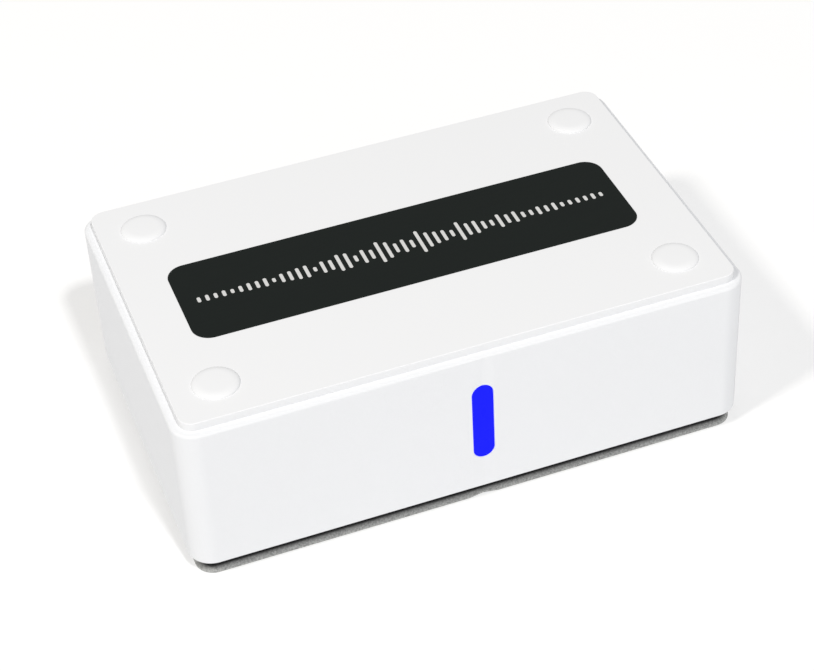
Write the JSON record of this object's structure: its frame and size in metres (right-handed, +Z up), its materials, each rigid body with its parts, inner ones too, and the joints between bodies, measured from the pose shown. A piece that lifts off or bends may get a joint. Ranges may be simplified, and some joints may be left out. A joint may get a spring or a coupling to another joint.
{
  "type": "bluetooth audio receiver",
  "caption": "Small white desktop audio receiver box on a grey base tray, with a raised top plate, black label plate, blue front light pipe, and rear phono, line and supply sockets.",
  "frame": {"origin": "bottom centre of the whole object's box, on the surface the feet stand on", "axes": "+X to the right as seen from the front, along the longest side; the front with the light pipe faces -Y; +Z up, the shortest extent"},
  "size_m": [0.1, 0.072, 0.0336],
  "materials": {
    "white_plastic": "fine spark-eroded moulded white, satin",
    "base_grey": "moulded grey, matt",
    "panel_charcoal": "moulded charcoal, matt",
    "black_plate": "black plate, low gloss",
    "grey_rubber": "matt",
    "blue_acrylic": "translucent blue, lit from behind",
    "blue_lamp": "clear, lit",
    "board_green": "solder mask over glass laminate",
    "chip_black": "moulded epoxy",
    "ceramic_white": "fired, unglazed",
    "ferrite_grey": "sintered",
    "capacitor_can": "drawn, bright",
    "plated_steel": "nickel plated",
    "gold_plate": "thin gold plate, polished",
    "jack_black": "moulded",
    "pale_plastic": "moulded",
    "red_plastic": "moulded"
  },
  "bodies": {
    "case": {"base_tray": "base_grey", "board_screw_1": "plated_steel", "board_screw_2": "plated_steel", "board_screw_3": "plated_steel", "board_screw_4": "plated_steel", "case_screw_front_left": "plated_steel", "case_screw_front_right": "plated_steel", "case_screw_rear_left": "plated_steel", "case_screw_rear_right": "plated_steel", "clock_crystal": "plated_steel", "converter_chip": "chip_black", "label_plate": "black_plate", "lamp_board": "board_green", "light_pipe": "blue_acrylic", "line_jack_body": "jack_black", "line_jack_sleeve": "plated_steel", "main_board": "board_green", "output_driver_chip": "chip_black", "pair_switch_body": "chip_black", "phono_barrel_left": "gold_plate", "phono_barrel_right": "gold_plate", "phono_block": "jack_black", "phono_contact_left": "gold_plate", "phono_contact_right": "gold_plate", "phono_insulator_left": "pale_plastic", "phono_insulator_right": "red_plastic", "power_coil": "ferrite_grey", "power_jack_body": "jack_black", "power_jack_pin": "plated_steel", "power_switch_case": "plated_steel", "radio_antenna": "ceramic_white", "radio_module_board": "board_green", "radio_shield_can": "plated_steel", "rear_panel": "panel_charcoal", "reservoir_capacitor_1": "capacitor_can", "reservoir_capacitor_2": "capacitor_can", "reservoir_capacitor_3": "capacitor_can", "rubber_foot_front_left": "grey_rubber", "rubber_foot_front_right": "grey_rubber", "rubber_foot_rear_left": "grey_rubber", "rubber_foot_rear_right": "grey_rubber", "screw_cap_front_left": "white_plastic", "screw_cap_front_right": "white_plastic", "screw_cap_rear_left": "white_plastic", "screw_cap_rear_right": "white_plastic", "status_lamp_lower": "blue_lamp", "status_lamp_upper": "blue_lamp", "top_plate": "white_plastic", "upper_housing": "white_plastic", "voltage_regulator": "chip_black"},
    "pair_button": {"pair_button_cap": "jack_black", "pair_switch_plunger": "pale_plastic"},
    "power_switch": {"power_switch_knob": "jack_black"}
  },
  "joints": [
    {"name": "pair_button_press", "type": "slide", "parent": "case", "child": "pair_button", "axis": [0, -1, 0], "range_m": [0, 0.0004], "stiffness_N_per_m": 1500},
    {"name": "power_switch_slide", "type": "slide", "parent": "case", "child": "power_switch", "axis": [1, 0, 0], "range_m": [0, 0.004]}
  ]
}
